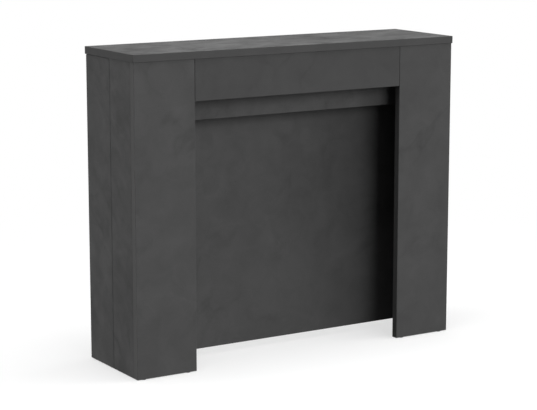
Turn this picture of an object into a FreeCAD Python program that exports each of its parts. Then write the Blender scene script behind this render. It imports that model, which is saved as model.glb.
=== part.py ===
import FreeCAD, Part
import os

# Extending console table. Two frames of board stand close together under one top.
# The front frame carries the whole top and pulls forward (-Y); the rear frame stays at the wall.
# A nest of telescopic rails on each side joins them, hidden behind the front leg panels.
# Millimetres. +X is to the right, +Y to the wall, +Z up; the origin is on the floor at mid depth and width.

Vector = FreeCAD.Vector

# Overall size
top_width = 900.0
top_depth = 246.0
overall_height = 760.0
board = 18.0
top_overhang = 2.0
edge_round = 0.8
cut_overrun = 1.0

# Leg panels and cross members
front_panel_width = 158.0
apron_height = 98.0
apron_joint_gap = 0.8
cross_rail_height = 92.0
back_panel_recess = 0.5
back_panel_floor_gap = 18.0
frame_gap = 0.7
slide_gap = 1.0

# Plastic angles on the back panel, which close the seam between the frames from inside
seam_angle_leg = 10.0
seam_angle_wall = 1.5
seam_angle_gap = 0.5

# Telescopic rails: each has a T-slot outboard and a T-tongue inboard
rail_count = 11
rail_travel = 150.0
rail_height = 50.0
rail_thickness = 10.0
rail_gap = 1.0
rail_end_gap = 2.0
rail_under_gap = 8.0
rail_wall = 2.2
rail_packer = 2.0
slot_mouth_height = 10.0
slot_mouth_depth = 2.4
slot_head_height = 18.0
slot_head_depth = 4.0
slot_clearance = 0.3

# A stop pin in each slot rides in a closed groove of the neighbour's tongue
stop_pin_diameter = 4.0
stop_pin_grip = 2.6
stop_pin_reach = 1.4
stop_pin_inset = 8.0
stop_groove_clearance = 0.3

# Dowels
dowel_diameter = 8.0
dowel_length = 30.0
dowel_in_face = 11.0
hole_clearance = 0.1
hole_end_clearance = 1.0

# Cam locks: a turning disc in one board draws in a bolt that is screwed into the other
cam_diameter = 15.0
cam_setback = 24.0
cam_sink = 0.3
cam_floor = 1.2
cam_drive_length = 8.0
cam_drive_width = 1.4
cam_drive_depth = 1.6
bolt_thread_diameter = 5.0
bolt_thread_length = 11.0
bolt_shank_diameter = 6.0
bolt_neck_diameter = 3.6
bolt_neck_length = 3.0
bolt_head_length = 3.5
bolt_bore_clearance = 0.5

# Screws
screw_diameter = 3.5
screw_head_diameter = 7.0
screw_head_height = 2.2
screw_tip = 3.0
screw_drive_length = 4.0
screw_drive_width = 1.0
screw_drive_depth = 1.2
board_screw_length = 14.0
metal_screw_length = 6.0
rail_screw_length = 24.0

# Steel brackets and plates
steel = 2.0
top_bracket_leg = 24.0
top_bracket_width = 20.0
end_bracket_height = 46.0
end_bracket_leg = 40.0
joint_plate_height = 24.0
joint_plate_reach = 24.0
joint_screw_inset = 11.0
bend_radius = 1.0
plate_corner_radius = 3.0
same_place = 0.01

# Floor glides, nailed under the panels
glide_diameter = 15.0
glide_height = 2.0
glide_bevel = 1.5
glide_nail_diameter = 2.4
glide_nail_length = 12.0
glide_inset = 20.0

# Places along the pieces, as shares of their lengths
leg_cam_shares = (0.12, 0.5, 0.86)
leg_dowel_shares = (0.05, 0.31, 0.69, 0.95)
cross_cam_share = 0.5
cross_dowel_shares = (0.18, 0.82)
joint_screw_shares = (0.15, 0.85)
top_dowel_shares = (0.25, 0.75)
apron_bracket_shares = (-0.7, 0.0, 0.7)
rail_bracket_shares = (0.4, 0.9)
rail_screw_shares = (0.25, 0.85)
end_screw_shares = (0.35, 0.75)

# Planes that the pieces share
half_width = top_width / 2 - top_overhang
half_depth = top_depth / 2 - top_overhang
inner_x = half_width - board
front_inner_y = board - half_depth
rear_inner_y = half_depth - board
front_edge_y = -frame_gap / 2
rear_edge_y = frame_gap / 2
top_under_z = overall_height - board
rear_top_z = top_under_z - slide_gap
panel_joint_x = half_width - front_panel_width
apron_bottom_z = top_under_z - apron_height
rail_bottom_z = rear_top_z - rail_height
rail_mid_z = rear_top_z - rail_height / 2
cross_top_z = rail_bottom_z - rail_under_gap
rail_front_y = front_inner_y + rail_end_gap
rail_rear_y = rear_inner_y - rail_end_gap
rail_pitch = rail_thickness + rail_gap
chamber_low = slot_head_height / 2 + rail_wall
chamber_high = rail_height / 2 - rail_wall
chamber_mid = (chamber_low + chamber_high) / 2
last_rail_x = inner_x - rail_packer - rail_count * rail_pitch + rail_gap
bracket_screw_drop = top_under_z - rail_mid_z - chamber_mid
joint_plate_z = (apron_bottom_z + rail_mid_z - end_bracket_height / 2) / 2

RIGHT = Vector(1, 0, 0)
REAR = Vector(0, 1, 0)
UP = Vector(0, 0, 1)
SIDES = (("left", -1), ("right", 1))


def block(xs, ys, zs):
    """A plain box between two values on each axis, given in either order."""
    low = Vector(min(xs), min(ys), min(zs))
    high = Vector(max(xs), max(ys), max(zs))
    size = high - low
    return Part.makeBox(size.x, size.y, size.z, low)


def panel(xs, ys, zs):
    """A board with its edges rounded, as edge-banded board is."""
    box = block(xs, ys, zs)
    return box.makeFillet(edge_round, box.Edges)


def turned(profile, base, axis):
    """A solid turned from (distance along the axis, radius) pairs."""
    points = [Vector(radius, 0, along) for along, radius in profile]
    points.insert(0, Vector(0, 0, profile[0][0]))
    points.append(Vector(0, 0, profile[-1][0]))
    outline = [point for i, point in enumerate(points) if i == 0 or point != points[i - 1]]
    face = Part.Face(Part.makePolygon(outline + outline[:1]))
    solid = face.revolve(Vector(0, 0, 0), UP, 360)
    solid.Placement = FreeCAD.Placement(base, FreeCAD.Rotation(UP, axis))
    return solid


def rod(base, axis, length, diameter):
    """A plain cylinder from a point along an axis."""
    return Part.makeCylinder(diameter / 2, length, base, axis)


def cross_recess(face, out, length, width, depth):
    """The two bars of a screwdriver cross, cut into a face that looks along out."""
    first = Vector(out.y, out.z, out.x)
    bars = []
    for along_bar in (first, out.cross(first)):
        corner = along_bar * (length / 2) + out.cross(along_bar) * (width / 2)
        near = face - out * depth - corner
        far = face + corner
        bars.append(block((near.x, far.x), (near.y, far.y), (near.z, far.z)))
    return bars


class Fittings:
    """The loose hardware of one frame, with the holes that it needs."""

    def __init__(self):
        self.dowels = []
        self.discs = []
        self.bolts = []
        self.screws = []
        self.glides = []
        self.holes = []

    def dowel(self, seat, into, behind):
        """A dowel across a joint at seat, reaching behind it by the given depth."""
        base = seat - into * behind
        self.dowels.append(rod(base, into, dowel_length, dowel_diameter))
        hole_length = dowel_length + 2 * hole_end_clearance
        hole_diameter = dowel_diameter + 2 * hole_clearance
        self.holes.append(rod(base - into * hole_end_clearance, into, hole_length, hole_diameter))

    def cam_lock(self, seat, into, out):
        """A bolt from seat into the end of a board whose drilled face looks along out."""
        head_end = cam_setback + bolt_head_length / 2
        neck_end = head_end - bolt_head_length
        shank_end = neck_end - bolt_neck_length
        profile = (
            (-bolt_thread_length, bolt_thread_diameter / 2),
            (0, bolt_thread_diameter / 2),
            (0, bolt_shank_diameter / 2),
            (shank_end, bolt_shank_diameter / 2),
            (shank_end, bolt_neck_diameter / 2),
            (neck_end, bolt_neck_diameter / 2),
            (neck_end, bolt_shank_diameter / 2),
            (head_end, bolt_shank_diameter / 2),
        )
        self.bolts.append(turned(profile, seat, into))
        bore = bolt_shank_diameter + 2 * bolt_bore_clearance
        thread_hole = bolt_thread_diameter + 2 * hole_clearance
        self.holes.append(rod(seat, into, cam_setback, bore))
        self.holes.append(rod(seat, -into, bolt_thread_length + hole_end_clearance, thread_hole))

        depth = board / 2 + bore / 2 + cam_floor
        centre = seat + into * cam_setback
        face = centre + out * (board / 2)
        disc = rod(face - out * cam_sink, -out, depth - cam_sink, cam_diameter)
        pocket_length = cam_diameter / 2 + bolt_head_length / 2 + bolt_bore_clearance
        pocket = rod(centre - into * (cam_diameter / 2), into, pocket_length, bore)
        drive = cross_recess(face, out, cam_drive_length, cam_drive_width, cam_sink + cam_drive_depth)
        self.discs.append(disc.cut([pocket] + drive))
        hole_diameter = cam_diameter + 2 * hole_clearance
        self.holes.append(rod(face, -out, depth + hole_clearance, hole_diameter))

    def screw(self, seat, into, length, sunk=False):
        """A screw whose head lies on the surface at seat, or is sunk flush with it."""
        head_start = 0 if sunk else -screw_head_height
        taper = screw_head_height if sunk else 0
        profile = (
            (head_start, screw_head_diameter / 2),
            (0, screw_head_diameter / 2),
            (taper, screw_diameter / 2),
            (length - screw_tip, screw_diameter / 2),
            (length, 0),
        )
        drive = cross_recess(seat + into * head_start, -into, screw_drive_length, screw_drive_width, screw_drive_depth)
        self.screws.append(turned(profile, seat, into).cut(drive))
        hole = rod(seat, into, length + hole_clearance, screw_diameter + 2 * hole_clearance)
        self.holes.append(hole)
        if sunk:
            wide = screw_head_diameter / 2 + hole_clearance
            narrow = screw_diameter / 2 + hole_clearance
            self.holes.append(Part.makeCone(wide, narrow, screw_head_height, seat, into))

    def glide(self, spot):
        """A domed plastic glide under a panel, with its nail."""
        profile = (
            (0, glide_diameter / 2 - glide_bevel),
            (glide_height, glide_diameter / 2),
            (glide_height, glide_nail_diameter / 2),
            (glide_height + glide_nail_length, glide_nail_diameter / 2),
        )
        self.glides.append(turned(profile, spot, UP))
        base = spot + UP * glide_height
        hole_length = glide_nail_length + hole_end_clearance
        self.holes.append(rod(base, UP, hole_length, glide_nail_diameter + 2 * hole_clearance))

    def drill(self, shape):
        """The shape with every hole of this frame that reaches it."""
        near = [hole for hole in self.holes if hole.BoundBox.intersect(shape.BoundBox)]
        return shape.cut(near) if near else shape


def along(low, high, share):
    """The place at a share of the way from low to high."""
    return low + (high - low) * share


def rail_section(with_slot, with_tongue):
    """The outline of a rail as (inboard distance, height) pairs about its middle."""
    half = rail_height / 2
    outline = [(0, -half), (rail_thickness, -half)]
    if with_tongue:
        neck = (slot_mouth_height - 2 * slot_clearance) / 2
        head = (slot_head_height - 2 * slot_clearance) / 2
        head_start = rail_pitch + slot_mouth_depth + slot_clearance
        head_end = rail_pitch + slot_mouth_depth + slot_head_depth - slot_clearance
        lower = [(rail_thickness, neck), (head_start, neck), (head_start, head), (head_end, head)]
        outline += [(inboard, -height) for inboard, height in lower]
        outline += reversed(lower)
    outline += [(rail_thickness, half), (0, half)]
    if with_slot:
        mouth = slot_mouth_height / 2
        head = slot_head_height / 2
        floor = slot_mouth_depth + slot_head_depth
        upper = [(0, mouth), (slot_mouth_depth, mouth), (slot_mouth_depth, head), (floor, head)]
        outline += upper
        outline += [(inboard, -height) for inboard, height in reversed(upper)]
    return outline


def rail(number, side):
    """One telescopic rail, counted from the rear frame inwards, with its stop groove and pin hole."""
    outer_x = inner_x - rail_packer - (number - 1) * rail_pitch
    with_slot = number > 1
    with_tongue = number < rail_count
    points = []
    for inboard, height in rail_section(with_slot, with_tongue):
        points.append(Vector(side * (outer_x - inboard), rail_front_y, rail_mid_z + height))
    face = Part.Face(Part.makePolygon(points + points[:1]))
    body = face.extrude(REAR * (rail_rear_y - rail_front_y))

    cuts = []
    chamber_x = (side * (outer_x - rail_wall), side * (outer_x - rail_thickness + rail_wall))
    chamber_y = (rail_front_y - cut_overrun, rail_rear_y + cut_overrun)
    for low, high in ((-chamber_high, -chamber_low), (chamber_low, chamber_high)):
        cuts.append(block(chamber_x, chamber_y, (rail_mid_z + low, rail_mid_z + high)))
    pin_y = rail_rear_y - stop_pin_inset
    inboard = Vector(-side, 0, 0)
    if with_tongue:
        cuts.append(stop_groove(outer_x, side, pin_y))
    if with_slot:
        slot_floor = Vector(side * (outer_x - slot_mouth_depth - slot_head_depth), pin_y, rail_mid_z)
        cuts.append(rod(slot_floor, inboard, stop_pin_grip, stop_pin_diameter + 2 * hole_clearance))
    return body.cut(cuts)


def stop_groove(outer_x, side, pin_y):
    """The groove in a tongue's face that the next rail's stop pin rides in, with round ends."""
    face_inboard = rail_pitch + slot_mouth_depth + slot_head_depth - slot_clearance
    depth = stop_pin_reach - slot_clearance + stop_groove_clearance
    width = stop_pin_diameter + 2 * stop_groove_clearance
    face_x = side * (outer_x - face_inboard)
    floor_x = side * (outer_x - face_inboard + depth)
    outward = Vector(side, 0, 0)
    closed_end = Vector(face_x, pin_y, rail_mid_z)
    open_end = closed_end - REAR * rail_travel
    rounds = [rod(end, outward, depth, width) for end in (closed_end, open_end)]
    heights = (rail_mid_z - width / 2, rail_mid_z + width / 2)
    middle = block((face_x, floor_x), (closed_end.y, open_end.y), heights)
    return middle.fuse(rounds)


def stop_pin(number, side):
    """The pin pressed into the floor of a rail's slot."""
    outer_x = inner_x - rail_packer - (number - 1) * rail_pitch
    floor_x = outer_x - slot_mouth_depth - slot_head_depth
    base = Vector(side * (floor_x + stop_pin_reach), rail_rear_y - stop_pin_inset, rail_mid_z)
    return rod(base, Vector(-side, 0, 0), stop_pin_reach + stop_pin_grip, stop_pin_diameter)


def angle_bracket(corner, leg_a, leg_b, length_a, length_b, width):
    """A bent steel angle: two flat legs from an outside corner, centred on its width."""
    across = leg_a.cross(leg_b)
    outline = ((0, 0), (length_a, 0), (length_a, steel), (steel, steel), (steel, length_b), (0, length_b))
    start = corner - across * (width / 2)
    points = [start + leg_a * a + leg_b * b for a, b in outline]
    angle = Part.Face(Part.makePolygon(points + points[:1])).extrude(across * width)
    angle = round_corners(angle)
    inside = corner + (leg_a + leg_b) * steel
    for place, radius in ((corner, bend_radius + steel), (inside, bend_radius)):
        bend = [edge for edge in angle.Edges if (edge.CenterOfMass - place).Length < same_place]
        angle = angle.makeFillet(radius, bend)
    return angle


def round_corners(plate):
    """A steel plate with the corners of its outline rounded."""
    corners = [edge for edge in plate.Edges if abs(edge.Length - steel) < same_place]
    return plate.makeFillet(plate_corner_radius, corners)


def seam_angle(side, face_y):
    """A plastic angle on the back panel's face, with a lip across the seam between the frames."""
    outer_x = side * (inner_x - seam_angle_gap)
    heights = (glide_height, rail_bottom_z - slide_gap)
    flat = block((outer_x, outer_x - side * seam_angle_leg), (face_y, face_y - seam_angle_wall), heights)
    lip = block((outer_x, outer_x - side * seam_angle_wall), (face_y, face_y - seam_angle_leg), heights)
    return flat.fuse(lip).removeSplitter()


def rear_frame():
    """The frame that stays at the wall: two side panels, the back panel and a rear apron."""
    fittings = Fittings()
    pieces = {}
    back_y = (rear_edge_y + back_panel_recess, rear_edge_y + back_panel_recess + board)
    back_z = (back_panel_floor_gap, cross_top_z)
    apron_z = (rear_top_z - apron_height, rear_top_z)
    pieces["back_panel"] = panel((-inner_x, inner_x), back_y, back_z)
    pieces["rear_apron"] = panel((-inner_x, inner_x), (rear_inner_y, half_depth), apron_z)
    pieces["seam_angles"] = Part.makeCompound([seam_angle(side, back_y[0]) for name, side in SIDES])
    packers = []
    for name, side in SIDES:
        inward = Vector(-side, 0, 0)
        side_x = (side * inner_x, side * half_width)
        side_z = (glide_height, rear_top_z)
        pieces["rear_side_panel_" + name] = panel(side_x, (rear_edge_y, half_depth), side_z)

        back_seat = Vector(side * inner_x, sum(back_y) / 2, 0)
        for share in leg_cam_shares:
            fittings.cam_lock(back_seat + UP * along(*back_z, share), inward, REAR)
        for share in leg_dowel_shares:
            fittings.dowel(back_seat + UP * along(*back_z, share), inward, dowel_in_face)
        apron_seat = Vector(side * inner_x, half_depth - board / 2, 0)
        fittings.cam_lock(apron_seat + UP * along(*apron_z, cross_cam_share), inward, -REAR)
        for share in cross_dowel_shares:
            fittings.dowel(apron_seat + UP * along(*apron_z, share), inward, dowel_in_face)

        packer_x = (side * inner_x, side * (inner_x - rail_packer))
        packers.append(block(packer_x, (rear_edge_y, rail_rear_y), (rail_bottom_z, rear_top_z)))
        screw_x = side * (inner_x - rail_packer - rail_thickness)
        for share in rail_screw_shares:
            for height in (-chamber_mid, chamber_mid):
                seat = Vector(screw_x, along(rear_edge_y, rail_rear_y, share), rail_mid_z + height)
                fittings.screw(seat, -inward, rail_screw_length, sunk=True)
        pieces["rail_01_" + name] = rail(1, side)

        glide_x = side * (half_width - board / 2)
        for glide_y in (rear_edge_y + glide_inset, half_depth - glide_inset):
            fittings.glide(Vector(glide_x, glide_y, 0))
    pieces["rail_packers"] = Part.makeCompound([fittings.drill(packer) for packer in packers])
    return pieces, fittings


def front_frame():
    """The frame that pulls out: the top, two L-shaped legs, the front apron and a cross rail."""
    fittings = Fittings()
    pieces = {}
    top_x = (-top_width / 2, top_width / 2)
    top_y = (-top_depth / 2, top_depth / 2)
    front_y = (-half_depth, front_inner_y)
    panel_z = (glide_height, top_under_z)
    apron_z = (apron_bottom_z, top_under_z)
    cross_mid_y = (front_inner_y + front_edge_y) / 2
    cross_y = (cross_mid_y - board / 2, cross_mid_y + board / 2)
    cross_z = (cross_top_z - cross_rail_height, cross_top_z)
    front_mid_y = sum(front_y) / 2
    pieces["table_top"] = panel(top_x, top_y, (top_under_z, overall_height))
    apron_end_x = panel_joint_x - apron_joint_gap
    pieces["front_apron"] = panel((-apron_end_x, apron_end_x), front_y, apron_z)
    pieces["cross_rail"] = panel((-inner_x, inner_x), cross_y, cross_z)

    brackets = []
    for share in apron_bracket_shares:
        corner = Vector(panel_joint_x * share, front_inner_y, top_under_z)
        brackets.append(top_bracket(fittings, corner, REAR, board_screw_length))
    end_brackets = []
    plates = []
    for name, side in SIDES:
        inward = Vector(-side, 0, 0)
        leg_x = (side * panel_joint_x, side * half_width)
        side_x = (side * inner_x, side * half_width)
        pieces["front_panel_" + name] = panel(leg_x, front_y, panel_z)
        pieces["front_side_panel_" + name] = panel(side_x, (front_inner_y, front_edge_y), panel_z)

        leg_seat = Vector(side * (half_width - board / 2), front_inner_y, 0)
        for share in leg_cam_shares:
            fittings.cam_lock(leg_seat + UP * along(*panel_z, share), REAR, inward)
        for share in leg_dowel_shares:
            fittings.dowel(leg_seat + UP * along(*panel_z, share), REAR, dowel_in_face)
        cross_seat = Vector(side * inner_x, cross_mid_y, 0)
        fittings.cam_lock(cross_seat + UP * along(*cross_z, cross_cam_share), inward, REAR)
        for share in cross_dowel_shares:
            fittings.dowel(cross_seat + UP * along(*cross_z, share), inward, dowel_in_face)
        for height in (joint_plate_z, rail_mid_z):
            seat = Vector(side * panel_joint_x, front_mid_y, height)
            fittings.dowel(seat, inward, dowel_length / 2)
        for share in top_dowel_shares:
            seat = Vector(along(*leg_x, share), front_mid_y, top_under_z)
            fittings.dowel(seat, -UP, dowel_in_face)

        pieces[f"rail_{rail_count:02d}_{name}"] = rail(rail_count, side)
        end_brackets.append(end_bracket(fittings, side))
        plates.append(joint_plate(fittings, side))
        for share in rail_bracket_shares:
            corner = Vector(side * last_rail_x, along(rail_front_y, rail_rear_y, share), top_under_z)
            brackets.append(top_bracket(fittings, corner, inward, metal_screw_length))

        for glide_x in (panel_joint_x + glide_inset, half_width - glide_inset):
            fittings.glide(Vector(side * glide_x, front_mid_y, 0))
        fittings.glide(Vector(side * (half_width - board / 2), front_edge_y - glide_inset, 0))
    groups = {"top_brackets": brackets, "rail_end_brackets": end_brackets, "apron_joint_plates": plates}
    for name, group in groups.items():
        pieces[name] = Part.makeCompound([fittings.drill(piece) for piece in group])
    return pieces, fittings


def top_bracket(fittings, corner, outward, side_screw_length):
    """An angle that holds the top down to an upright face which looks along outward."""
    bracket = angle_bracket(corner, outward, -UP, top_bracket_leg, top_bracket_leg, top_bracket_width)
    upright = corner + outward * steel - UP * bracket_screw_drop
    fittings.screw(upright, -outward, side_screw_length)
    flat = corner + outward * (top_bracket_leg - screw_head_diameter) - UP * steel
    fittings.screw(flat, UP, board_screw_length)
    return bracket


def end_bracket(fittings, side):
    """The angle that ties the last rail to the front panel, across its joint with the apron."""
    inward = Vector(-side, 0, 0)
    corner = Vector(side * last_rail_x, front_inner_y, rail_mid_z)
    reach = last_rail_x - panel_joint_x + joint_plate_reach
    bracket = angle_bracket(corner, REAR, inward, end_bracket_leg, reach, end_bracket_height)
    for height in (-chamber_mid, chamber_mid):
        level = corner + UP * height
        for share in end_screw_shares:
            seat = level + inward * steel + REAR * (end_bracket_leg * share)
            fittings.screw(seat, -inward, metal_screw_length)
        for offset in (-joint_screw_inset, joint_screw_inset):
            seat = Vector(side * (panel_joint_x + offset), front_inner_y + steel, level.z)
            fittings.screw(seat, -REAR, board_screw_length)
    return bracket


def joint_plate(fittings, side):
    """A flat plate across the joint between a front panel and the apron."""
    heights = (joint_plate_z - joint_plate_height / 2, joint_plate_z + joint_plate_height / 2)
    ends = (side * (panel_joint_x - joint_plate_reach), side * (panel_joint_x + joint_plate_reach))
    for offset in (-joint_screw_inset, joint_screw_inset):
        for share in joint_screw_shares:
            seat = Vector(side * (panel_joint_x + offset), front_inner_y + steel, along(*heights, share))
            fittings.screw(seat, -REAR, board_screw_length)
    return round_corners(block(ends, (front_inner_y, front_inner_y + steel), heights))


def middle_rails():
    """The rails between the first and the last of each side, with their stop pins."""
    pieces = {}
    for number in range(2, rail_count):
        for name, side in SIDES:
            pieces[f"rail_{number:02d}_{name}"] = rail(number, side)
    for number in range(2, rail_count + 1):
        pins = [stop_pin(number, side) for name, side in SIDES]
        pieces[f"rail_{number:02d}_stop_pins"] = Part.makeCompound(pins)
    return pieces


def main():
    os.makedirs("parts", exist_ok=True)
    nodes = middle_rails()
    for frame, (pieces, fittings) in (("rear", rear_frame()), ("front", front_frame())):
        for name, shape in pieces.items():
            nodes[name] = fittings.drill(shape)
        nodes[frame + "_dowels"] = Part.makeCompound(fittings.dowels)
        nodes[frame + "_cam_discs"] = Part.makeCompound(fittings.discs)
        nodes[frame + "_cam_bolts"] = Part.makeCompound(fittings.bolts)
        nodes[frame + "_screws"] = Part.makeCompound(fittings.screws)
        nodes[frame + "_glides"] = Part.makeCompound(fittings.glides)
    for name, shape in sorted(nodes.items()):
        shape.exportStep(f"parts/{name}.step")
        print(f"{name}: {len(shape.Solids)} solids, {shape.Volume / 1000:.1f} cm3, valid {shape.isValid()}")


main()
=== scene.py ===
# %% [markdown]
# An extending console table in dark cement-effect board. The solids already have every real shape: boards
# with softly rounded edges, aluminium rails, steel angles and the small hardware, down to the cross in each
# screw. So no piece has to be made anew. This lesson sets up a camera and a plain studio, and then dresses
# the solids.

# %% Load the solids
import math

import bmesh
import bpy
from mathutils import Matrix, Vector

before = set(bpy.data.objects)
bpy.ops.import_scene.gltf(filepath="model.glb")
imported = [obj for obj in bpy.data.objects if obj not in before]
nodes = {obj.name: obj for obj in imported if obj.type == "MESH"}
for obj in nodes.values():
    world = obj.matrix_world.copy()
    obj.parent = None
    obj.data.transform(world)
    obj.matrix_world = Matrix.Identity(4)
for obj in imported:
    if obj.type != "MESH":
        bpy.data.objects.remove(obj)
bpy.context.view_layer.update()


# %% [markdown]
# The camera stands to the left of the table, a little above it, with a long lens, so the sides barely
# converge. Its place came from matching the table's corners with the photograph. A pixel focal length becomes
# millimetres when it is measured against the sensor's width.

# %% Camera
photo_width_px = 537
focal_px = 1807.6
sensor_width_mm = 36
farthest_seen = 200
camera_place = (-2.321, -3.7297, 1.1686)
camera_turn = math.radians(31.717)
camera_dip = math.radians(10.502)
level = math.pi / 2

camera_data = bpy.data.cameras.new("camera")
camera_data.sensor_fit = "HORIZONTAL"
camera_data.sensor_width = sensor_width_mm
camera_data.lens = focal_px / photo_width_px * sensor_width_mm
camera_data.clip_end = farthest_seen
camera = bpy.data.objects.new("camera", camera_data)
camera.location = camera_place
camera.rotation_euler = (level - camera_dip, 0, -camera_turn)
bpy.context.scene.collection.objects.link(camera)
bpy.context.scene.camera = camera
print("lens", round(camera_data.lens, 1), "mm")

# %% [markdown]
# Materials are small networks of nodes. They could be wired by hand in the editor, but in code the same few
# helpers serve every finish: they add a node with its inputs filled, do sums, mix two shaders, and start a
# material from the piece's own coordinates.

# %% Helpers that wire nodes
texture_middle = 0.5


def feed(tree, socket, value):
    """Fills an input: with a link where the value is another node's output, else with the value itself."""
    if isinstance(value, bpy.types.NodeSocket):
        tree.links.new(value, socket)
    else:
        socket.default_value = value


def add_node(tree, kind, settings=None, **sockets):
    """A new node of a kind, with its own settings and the values or links of its inputs."""
    node = tree.nodes.new(kind)
    for name, value in (settings or {}).items():
        setattr(node, name, value)
    for name, value in sockets.items():
        feed(tree, node.inputs[name.replace("_", " ")], value)
    return node


def do_math(tree, operation, *values):
    """The output of a Math node with these inputs."""
    node = add_node(tree, "ShaderNodeMath", {"operation": operation})
    for socket, value in zip(node.inputs, values):
        feed(tree, socket, value)
    return node.outputs[0]


def weighted_sum(tree, base, parts):
    """base plus each texture value, taken from its middle, times its weight."""
    total = base
    for value, weight in parts:
        centred = do_math(tree, "SUBTRACT", value, texture_middle)
        total = do_math(tree, "MULTIPLY_ADD", centred, weight, total)
    return total


def mix_shaders(tree, share, first, second):
    """The first shader where the share is zero, the second where it is one."""
    node = tree.nodes.new("ShaderNodeMixShader")
    for socket, value in zip(node.inputs, (share, first, second)):
        tree.links.new(value, socket)
    return node.outputs[0]


def new_material(name):
    """An empty material with its network, its shader and the piece's own coordinates."""
    material = bpy.data.materials.new(name)
    material.use_nodes = True
    tree = material.node_tree
    shader = tree.nodes["Principled BSDF"]
    coordinates = tree.nodes.new("ShaderNodeTexCoord").outputs["Object"]
    return material, tree, shader, coordinates


print("helpers that wire nodes are ready")

# %% [markdown]
# Every finish on this table is a texture that colours the surface, makes it rougher or smoother, and lifts it
# a little. The next helpers are those steps. Pictures could do the same, but noise has no seams and needs no
# file, and it stays sharp from close by.

# %% Helpers for textures and finishes
def mapped(tree, coordinates, place=(0, 0, 0), turn=(0, 0, 0), scale=(1, 1, 1)):
    """Coordinates moved, turned and stretched."""
    node = add_node(tree, "ShaderNodeMapping", Vector=coordinates, Location=place, Rotation=turn, Scale=scale)
    return node.outputs[0]


def noise(tree, where, scale, detail=4.0, roughness=0.5, distortion=0.0):
    """The value of a noise texture: the higher the scale, the finer the noise."""
    node = add_node(tree, "ShaderNodeTexNoise", Vector=where, Scale=scale, Detail=detail,
                    Roughness=roughness, Distortion=distortion)
    return node.outputs[0]


def ramp(tree, value, stops):
    """A colour ramp through (position, grey or colour) stops."""
    node = tree.nodes.new("ShaderNodeValToRGB")
    tree.links.new(value, node.inputs[0])
    elements = node.color_ramp.elements
    while len(elements) < len(stops):
        elements.new(1.0)
    for element, (position, colour) in zip(elements, stops):
        element.position = position
        rgb = colour if isinstance(colour, tuple) else (colour, colour, colour)
        element.color = (*rgb, 1)
    return node.outputs[0]


def colour_from(tree, shader, value, stops):
    """Colours a shader by a value, through the stops of a ramp."""
    tree.links.new(ramp(tree, value, stops), shader.inputs["Base Color"])


def roughness_from(tree, shader, base, parts):
    """Makes a shader rougher and smoother round a base, as the textures go."""
    tree.links.new(weighted_sum(tree, base, parts), shader.inputs["Roughness"])


def bumped(tree, shader, height, strength, distance):
    """Gives a shader a bump from a height value."""
    node = add_node(tree, "ShaderNodeBump", Height=height, Strength=strength, Distance=distance)
    tree.links.new(node.outputs[0], shader.inputs["Normal"])


def dress(names, material):
    """Gives nodes a finish in place of the plain one that they came with."""
    for name in names:
        slots = nodes[name].data.materials
        slots.clear()
        slots.append(material)
    print(material.name, "on", len(names), "of the nodes")


print("helpers for textures and finishes are ready")

# %% [markdown]
# The studio is a white room whose light is held down. To the camera and to reflections the world is pure
# white, and as a light it is dim, so that the lamps draw the shade. A brighter world would do for the white,
# but it would wash the recess out. The Light Path node tells the two apart.

# %% World
pure_white = (1, 1, 1, 1)
world_strength = 0.15


def seen_directly(tree):
    """One where a camera, glossy or transmission ray looks, else zero."""
    path = tree.nodes.new("ShaderNodeLightPath")
    seen = do_math(tree, "MAXIMUM", path.outputs["Is Camera Ray"], path.outputs["Is Glossy Ray"])
    return do_math(tree, "MAXIMUM", seen, path.outputs["Is Transmission Ray"])


def make_world():
    """A world that is white to the eye and dim as a light."""
    world = bpy.data.worlds.new("studio")
    world.use_nodes = True
    bpy.context.scene.world = world
    tree = world.node_tree
    background = tree.nodes["Background"]
    background.inputs["Color"].default_value = pure_white
    strength = do_math(tree, "MULTIPLY_ADD", seen_directly(tree), 1 - world_strength, world_strength)
    tree.links.new(strength, background.inputs["Strength"])


bpy.context.scene.view_settings.view_transform = "Standard"
make_world()
print("white world, strength", world_strength, "as a light")

# %% [markdown]
# The floor is a wide white sheet. To the camera and to reflections it fades into pure white a few steps away,
# and near the table it keeps the soft shadow. To every other ray it is a dark grey, so it throws little light
# up into the recess. From below it is clear, so that the underside can be looked at.

# %% Floor
floor_size = 120.0
floor_white = 0.9
floor_bounce = 0.07
shadow_middle = (0.0, -0.6, 0.0)
shadow_reach = 2.5
shadow_core = shadow_reach / 3
shadow_share = 0.4


def white_floor():
    """White paper: its shadow shows near the table, and the light it throws back is held down."""
    material, tree, shader, coordinates = new_material("white_floor")
    tree.nodes.remove(shader)
    seen = seen_directly(tree)
    tone = do_math(tree, "MULTIPLY_ADD", seen, floor_white - floor_bounce, floor_bounce)
    paper = add_node(tree, "ShaderNodeBsdfDiffuse", Color=tone)
    glow = add_node(tree, "ShaderNodeEmission", Color=pure_white, Strength=1.0)
    away = add_node(tree, "ShaderNodeVectorMath", {"operation": "DISTANCE"})
    feed(tree, away.inputs[0], coordinates)
    feed(tree, away.inputs[1], shadow_middle)
    fade = add_node(tree, "ShaderNodeMapRange", {"interpolation_type": "SMOOTHSTEP"},
                    Value=away.outputs["Value"], From_Min=shadow_core, From_Max=shadow_reach,
                    To_Min=1 - shadow_share)
    share = do_math(tree, "MULTIPLY", fade.outputs[0], seen)
    from_above = mix_shaders(tree, share, paper.outputs[0], glow.outputs[0])
    clear = tree.nodes.new("ShaderNodeBsdfTransparent").outputs[0]
    below = tree.nodes.new("ShaderNodeNewGeometry").outputs["Backfacing"]
    one_way = mix_shaders(tree, below, from_above, clear)
    tree.links.new(one_way, tree.nodes["Material Output"].inputs["Surface"])
    return material


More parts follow.
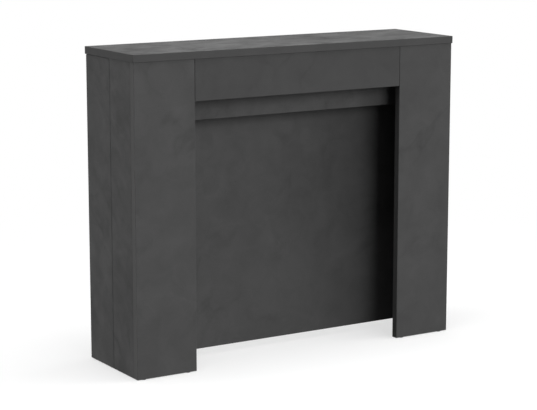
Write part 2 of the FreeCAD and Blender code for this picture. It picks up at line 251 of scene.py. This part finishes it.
def make_floor():
    """One flat sheet under the table, which is stage and no part of the object."""
    sheet = bmesh.new()
    bmesh.ops.create_grid(sheet, x_segments=1, y_segments=1, size=floor_size / 2)
    data = bpy.data.meshes.new("floor")
    sheet.to_mesh(data)
    sheet.free()
    data.materials.append(white_floor())
    floor = bpy.data.objects.new("floor", data)
    bpy.context.scene.collection.objects.link(floor)


make_floor()
print("floor", floor_size, "m wide")

# %% [markdown]
# Six softboxes light the table. The main one stands in front, a little above, and throws the soft shadows of
# the apron and of the right leg into the recess. Beside it a weaker one and, far to the right, a large one
# let the shade of the leg fade slowly across the back panel. One on the left lights the side, a broad one
# overhead makes the top the palest face, and a low one behind keeps the wall side from going black. None of
# them leaves its mirror image in the metal, which shows the white room instead and so keeps its grey.

# %% Lamps
table_middle = Vector((0.0, 0.0, 0.42))
softboxes = {
    "front_softbox": {"place": (0.34, -8.4, 2.5), "width": 4.2, "height": 4.4, "watts": 298},
    "fill_softbox": {"place": (4.7, -7.9, 2.7), "width": 5.2, "height": 4.4, "watts": 167},
    "right_softbox": {"place": (16.7, -8.7, 3.6), "width": 10.8, "height": 7.2, "watts": 2190},
    "side_softbox": {"place": (-7.2, 4.0, 0.6), "width": 4.8, "height": 4.4, "watts": 685},
    "top_softbox": {"place": (0.0, -0.2, 3.2), "width": 2.6, "height": 1.6, "watts": 102},
    "rear_softbox": {"place": (0.6, 4.2, 1.0), "width": 2.2, "height": 1.6, "watts": 62},
}


def make_softbox(name, place, width, height, watts):
    """A rectangular lamp at a place, turned to look at the table."""
    data = bpy.data.lights.new(name, "AREA")
    data.shape = "RECTANGLE"
    data.size = width
    data.size_y = height
    data.energy = watts
    lamp = bpy.data.objects.new(name, data)
    lamp.location = place
    direction = table_middle - Vector(place)
    lamp.rotation_euler = direction.to_track_quat("-Z", "Y").to_euler()
    lamp.visible_glossy = False
    bpy.context.scene.collection.objects.link(lamp)


for name, softbox in softboxes.items():
    make_softbox(name, **softbox)
print(len(softboxes), "softboxes")

# %% [markdown]
# Every board is faced with a cement print, and what makes it cement is the trowel. Patches with plain edges
# are its passes, crescents are the edges of its sweeps, and thin creases are left where it stopped. Each kind
# could be painted by hand, but cells and noise scatter them over any board without a repeat.

# %% Marks of the trowel
def wandering(tree, where, scale, amount):
    """Coordinates pushed about by a noise, so that what is drawn on them runs unevenly."""
    push = add_node(tree, "ShaderNodeTexNoise", Vector=where, Scale=scale, Detail=3.0)
    moved = add_node(tree, "ShaderNodeVectorMath", {"operation": "MULTIPLY_ADD"})
    feed(tree, moved.inputs[0], push.outputs["Color"])
    feed(tree, moved.inputs[1], (amount, amount, amount))
    feed(tree, moved.inputs[2], where)
    return moved.outputs[0]


def slanted(tree, where, turn, stretch):
    """Coordinates turned first and then stretched, so that a pattern runs long along a slanting line."""
    turned = mapped(tree, where, turn=[math.radians(angle) for angle in turn])
    return mapped(tree, turned, scale=(stretch, 1.0, 1.0))


def here_and_there(tree, where, scale, left_out, fade=0.12):
    """One in scattered places, zero in the share that is left out."""
    spots = noise(tree, where, scale, detail=1.0)
    return ramp(tree, spots, ((left_out, 0.0), (left_out + fade, 1.0)))


def trowel_creases(tree, where, turn, scale, width, left_out, stretch=0.35, spots=0.8):
    """Thin marks along a slanting line: where a smooth noise passes its middle."""
    value = noise(tree, slanted(tree, where, turn, stretch), scale, distortion=0.3)
    off = do_math(tree, "ABSOLUTE", do_math(tree, "SUBTRACT", value, texture_middle))
    lines = ramp(tree, off, ((0.0, 1.0), (width, 0.0)))
    return do_math(tree, "MULTIPLY", lines, here_and_there(tree, where, scale * spots, left_out))


def trowel_sweeps(tree, where, scale, radius, fade, left_out, rise=0.03, spots=1.2):
    """Crescents round scattered points, sharp on the inside and fading outwards."""
    uneven = wandering(tree, where, scale=scale * 1.5, amount=0.45 / scale)
    cells = add_node(tree, "ShaderNodeTexVoronoi", {"feature": "F1"}, Vector=uneven, Scale=scale)
    stops = ((radius, 0.0), (radius + rise, 1.0), (radius + fade, 0.0))
    arcs = ramp(tree, cells.outputs["Distance"], stops)
    return do_math(tree, "MULTIPLY", arcs, here_and_there(tree, where, scale * spots, left_out))


def trowel_patches(tree, where):
    """Uneven patches, each of its own tone, as the passes of a trowel leave them."""
    uneven = wandering(tree, where, scale=16.0, amount=0.1)
    cells = add_node(tree, "ShaderNodeTexVoronoi", {"feature": "SMOOTH_F1"}, Vector=uneven, Scale=15.0,
                     Smoothness=0.3)
    parts = add_node(tree, "ShaderNodeSeparateColor", Color=cells.outputs["Color"])
    return parts.outputs[0]


print("trowel marks: patches, sweeps and creases")

# %% [markdown]
# The print itself is a sum. Clouds a hand wide and smaller blotches make it uneven, smears run long one way,
# sandy grain and pores show from close by, and the trowel's marks lie on top. The same textures rough the
# surface and lift it by a hair. The edge bands of a board are a plainer strip, so the print is at full
# contrast only on the two wide faces. Their tone is also shifted as painted light and shade: lighter on the
# rounded edges of the fronts and sides and at the seams, darker on the top's front edge.

# %% Cement print of one board
cement_tone = 0.072
cement_contrast = 0.5
cement_gloss = 0.05
cement_roughness = 0.75
edge_band_contrast = 0.3
smear_stretch = 0.4
dark_sweep_shift = (0.6, 0.2, 0.4)
print_weights = {"clouds": 0.26, "blotches": 0.34, "patches": 0.08, "grain": 0.2, "pores": 0.35}
mark_weights = {"pale_sweeps": 0.05, "dark_sweeps": -0.08, "dark_creases": -0.11, "pale_creases": 0.05}
relief_weights = {"grain": 0.5, "pores": 1.0, "patches": 0.3, "blotches": 0.4}
roughness_weights = {"patches": 0.08, "blotches": 0.12, "grain": 0.12}


def cement_textures(tree, here, smear_turn, smear_scale):
    """The textures of the print by their names."""
    along = slanted(tree, here, smear_turn, smear_stretch)
    pits = noise(tree, here, scale=240.0, detail=1.0)
    return {
        "clouds": noise(tree, here, scale=6.0, detail=3.0, distortion=0.8),
        "blotches": noise(tree, here, scale=19.0, detail=5.0, roughness=0.58, distortion=0.8),
        "patches": trowel_patches(tree, here),
        "smears": noise(tree, along, smear_scale, distortion=1.0),
        "grain": noise(tree, here, scale=420.0, detail=3.0, roughness=0.7),
        "pores": ramp(tree, pits, ((0.2, 0.0), (0.27, 0.5))),
    }


def cement_marks(tree, here):
    """The marks on the print by their names."""
    aside = mapped(tree, here, place=dark_sweep_shift)
    return {
        "pale_sweeps": trowel_sweeps(tree, here, scale=9.0, radius=0.28, fade=0.3, left_out=0.5),
        "dark_sweeps": trowel_sweeps(tree, aside, scale=7.0, radius=0.3, fade=0.16, left_out=0.5),
        "dark_creases": trowel_creases(tree, here, (30, 55, 0), scale=7.0, width=0.03, left_out=0.54),
        "pale_creases": trowel_creases(tree, here, (-20, -40, 15), scale=16.0, width=0.03, left_out=0.56),
    }


def weighed(textures, weights):
    """Each texture that has a weight, with its weight."""
    return [(textures[name], weight) for name, weight in weights.items()]


def on_the_faces(tree, thickness):
    """One on the two wide faces of a board, zero on the edge bands round them."""
    normal = tree.nodes.new("ShaderNodeTexCoord").outputs["Normal"]
    parts = add_node(tree, "ShaderNodeSeparateXYZ", Vector=normal)
    return do_math(tree, "ABSOLUTE", parts.outputs[thickness])


def cement_board(name, cut, tone, thickness, smear_turn, smear_scale, smear, contrast, painted_edge_shading):
    """The cement print of one board, cut from the pattern at a place, with smears along a slanting line.

    The edge bands are plainer than the faces, and their tone is shifted by painted shading: painted light on
    the rounded edges of fronts and sides, painted shade on the top's edge.
    """
    material, tree, shader, coordinates = new_material(name)
    here = mapped(tree, coordinates, place=cut)
    textures = cement_textures(tree, here, smear_turn, smear_scale)
    marks = cement_marks(tree, here)
    pattern = weighted_sum(tree, 0.0, weighed(textures, {**print_weights, "smears": smear}))
    for mark, weight in weighed(marks, mark_weights):
        pattern = do_math(tree, "MULTIPLY_ADD", mark, weight, pattern)
    faced = on_the_faces(tree, thickness)
    strength = do_math(tree, "MULTIPLY_ADD", faced, contrast - edge_band_contrast, edge_band_contrast)
    # Here the edge bands are made lighter or darker by the look's last value: painted light and shade on the
    # edges.
    middle = do_math(tree, "MULTIPLY_ADD", faced, -painted_edge_shading, texture_middle + painted_edge_shading)
    value = do_math(tree, "MULTIPLY_ADD", pattern, strength, middle)
    dark = cement_tone * tone * (1 - cement_contrast)
    light = cement_tone * tone * (1 + cement_contrast)
    colour_from(tree, shader, value, ((0.0, dark), (1.0, light)))
    roughness_from(tree, shader, cement_roughness, weighed(textures, roughness_weights))
    shader.inputs["Specular IOR Level"].default_value = cement_gloss
    relief = weighted_sum(tree, 0.0, weighed(textures, relief_weights))
    bumped(tree, shader, relief, strength=0.25, distance=0.0003)
    return material


print("cement print of", len(print_weights) + 1, "textures and", len(mark_weights), "marks")

# %% [markdown]
# Each board is cut from another sheet of the print, so the pattern stops at the joints as it does on cut
# boards. The two side panels of an end come from one sheet, and there it runs on across the seam. One print
# for all would be shorter, but the boards differ in the photograph: smears run across the top and slantwise
# down the sides, and the fronts are calm.

# %% Boards
lengthwise = (0, 0, 0)
upright = (0, 80, 0)
across_the_top = (0, 0, -22)
down_the_side = (45, 90, 0)


def look(thickness, smear_turn, smear, contrast, painted_edge_shading=0.0, smear_scale=18):
    """What boards of one kind have in common: where their thickness lies, their smears, their contrast and
    the painted light and shade on their edge bands.
    """
    return {"thickness": thickness, "smear_turn": smear_turn, "smear_scale": smear_scale, "smear": smear,
            "contrast": contrast, "painted_edge_shading": painted_edge_shading}


# The last value of each look is painted shading on the edge bands. The lift of 0.2 on fronts and sides is
# painted light on their rounded edges and at the seams. The -0.08 on the top is painted shade on its front
# edge.
top_look = look("Z", across_the_top, smear=0.4, contrast=2.6, painted_edge_shading=-0.08, smear_scale=26)
apron_look = look("Y", lengthwise, smear=0.1, contrast=0.8)
lath_look = look("Y", lengthwise, smear=0.3, contrast=1.1)
back_look = look("Y", upright, smear=0.1, contrast=1.0)
front_look = look("Y", upright, smear=0.06, contrast=1.0, painted_edge_shading=0.2)
side_look = look("X", down_the_side, smear=0.35, contrast=1.4, painted_edge_shading=0.2)

# Each board: its look, the sheet that it is cut from, and its tone against the others.
boards = {
    "table_top": (top_look, 0, 1.0),
    "front_apron": (apron_look, 1, 0.88),
    "cross_rail": (lath_look, 2, 1.0),
    "rear_apron": (apron_look, 3, 0.95),
    "back_panel": (back_look, 9, 1.0),
    # The left front is a little lighter and the right front a little darker: painted light and shade that
    # evens out the stronger light from the lamps on the right.
    "front_panel_left": (front_look, 5, 1.02),
    "front_panel_right": (front_look, 6, 0.965),
    "front_side_panel_left": (side_look, 7, 1.02),
    "rear_side_panel_left": (side_look, 7, 1.02),
    "front_side_panel_right": (side_look, 8, 1.02),
    "rear_side_panel_right": (side_look, 8, 1.02),
}
sheet_step = Vector((1.7, 0.9, 2.3))
for board, (board_look, sheet, tone) in boards.items():
    dress([board], cement_board("cement_" + board, sheet_step * sheet, tone, **board_look))

# %% [markdown]
# The rails are extruded aluminium: pale and satin, with fine die lines along their length. Real grooves would
# cost far too many faces, so a noise drawn out along the rail gives the lines to the colour, the roughness
# and a slight bump.

# %% Aluminium rails
rail_pale = (0.45, 0.455, 0.465)
rail_dark = tuple(value * 0.72 for value in rail_pale)
along_the_rail = (1.0, 0.012, 1.0)


def drawn_aluminium():
    """Satin metal with die lines, and faint stains over them."""
    material, tree, shader, coordinates = new_material("drawn_aluminium")
    drawn = mapped(tree, coordinates, scale=along_the_rail)
    lines = noise(tree, drawn, scale=900.0, detail=3.0, roughness=0.6)
    stain = noise(tree, coordinates, scale=14.0, detail=3.0)
    tone = weighted_sum(tree, texture_middle, ((lines, 0.5), (stain, 0.4)))
    colour_from(tree, shader, tone, ((0.0, rail_dark), (1.0, rail_pale)))
    shader.inputs["Metallic"].default_value = 1.0
    roughness_from(tree, shader, 0.36, ((lines, 0.2),))
    bumped(tree, shader, lines, strength=0.12, distance=0.0001)
    return material


rails = [name for name in nodes if name.startswith("rail_") and name.endswith(("_left", "_right"))]
dress(rails, drawn_aluminium())

# %% [markdown]
# The hardware: zinc-plated steel for angles, plates, screws and pins, cast zinc for the cam discs, beech for
# the dowels, and black plastic for glides, packers and seam angles. Each finish finds its pieces by the end
# of their names, so all screws of the table look alike, and a new one would too.

# %% Hardware finishes
zinc_dark = (0.27, 0.285, 0.305)
zinc_pale = (0.47, 0.485, 0.50)
cast_dark = (0.14, 0.14, 0.145)
cast_pale = (0.24, 0.24, 0.245)
beech_dark = (0.42, 0.26, 0.14)
beech_pale = (0.60, 0.40, 0.24)
plastic_dark = 0.012
plastic_pale = 0.022


def zinc_plate():
    """Bright plating, clouded by its spangle, with fine scratches."""
    material, tree, shader, coordinates = new_material("zinc_plate")
    spangle = noise(tree, coordinates, scale=60.0, detail=2.0)
    scratches = noise(tree, mapped(tree, coordinates, scale=(0.1, 1.0, 1.0)), scale=700.0, detail=2.0)
    tone = weighted_sum(tree, texture_middle, ((spangle, 0.7), (scratches, 0.4)))
    colour_from(tree, shader, tone, ((0.0, zinc_dark), (1.0, zinc_pale)))
    shader.inputs["Metallic"].default_value = 1.0
    roughness_from(tree, shader, 0.34, ((spangle, 0.25),))
    bumped(tree, shader, scratches, strength=0.1, distance=0.0001)
    return material


def cast_zinc():
    """Dull grey metal with a grainy skin."""
    material, tree, shader, coordinates = new_material("cast_zinc")
    skin = noise(tree, coordinates, scale=350.0, roughness=0.65)
    colour_from(tree, shader, skin, ((0.3, cast_dark), (0.7, cast_pale)))
    shader.inputs["Metallic"].default_value = 1.0
    roughness_from(tree, shader, 0.5, ((skin, 0.3),))
    bumped(tree, shader, skin, strength=0.3, distance=0.0003)
    return material


def beech():
    """Turned wood with short fibres."""
    material, tree, shader, coordinates = new_material("beech")
    fibres = noise(tree, mapped(tree, coordinates, scale=(1.0, 0.15, 1.0)), scale=600.0)
    colour_from(tree, shader, fibres, ((0.3, beech_dark), (0.7, beech_pale)))
    roughness_from(tree, shader, 0.65, ((fibres, 0.2),))
    bumped(tree, shader, fibres, strength=0.3, distance=0.0003)
    return material


def black_plastic():
    """Moulded plastic with a fine eroded grain."""
    material, tree, shader, coordinates = new_material("black_plastic")
    spark = noise(tree, coordinates, scale=900.0, detail=2.0)
    colour_from(tree, shader, spark, ((0.2, plastic_dark), (0.8, plastic_pale)))
    roughness_from(tree, shader, 0.5, ((spark, 0.2),))
    bumped(tree, shader, spark, strength=0.25, distance=0.0002)
    return material


finishes = (
    (zinc_plate, ("_screws", "_stop_pins", "_cam_bolts", "_brackets", "_plates")),
    (cast_zinc, ("_cam_discs",)),
    (beech, ("_dowels",)),
    (black_plastic, ("_glides", "_packers", "_angles")),
)
for finish, endings in finishes:
    dress([name for name in nodes if name.endswith(endings)], finish())
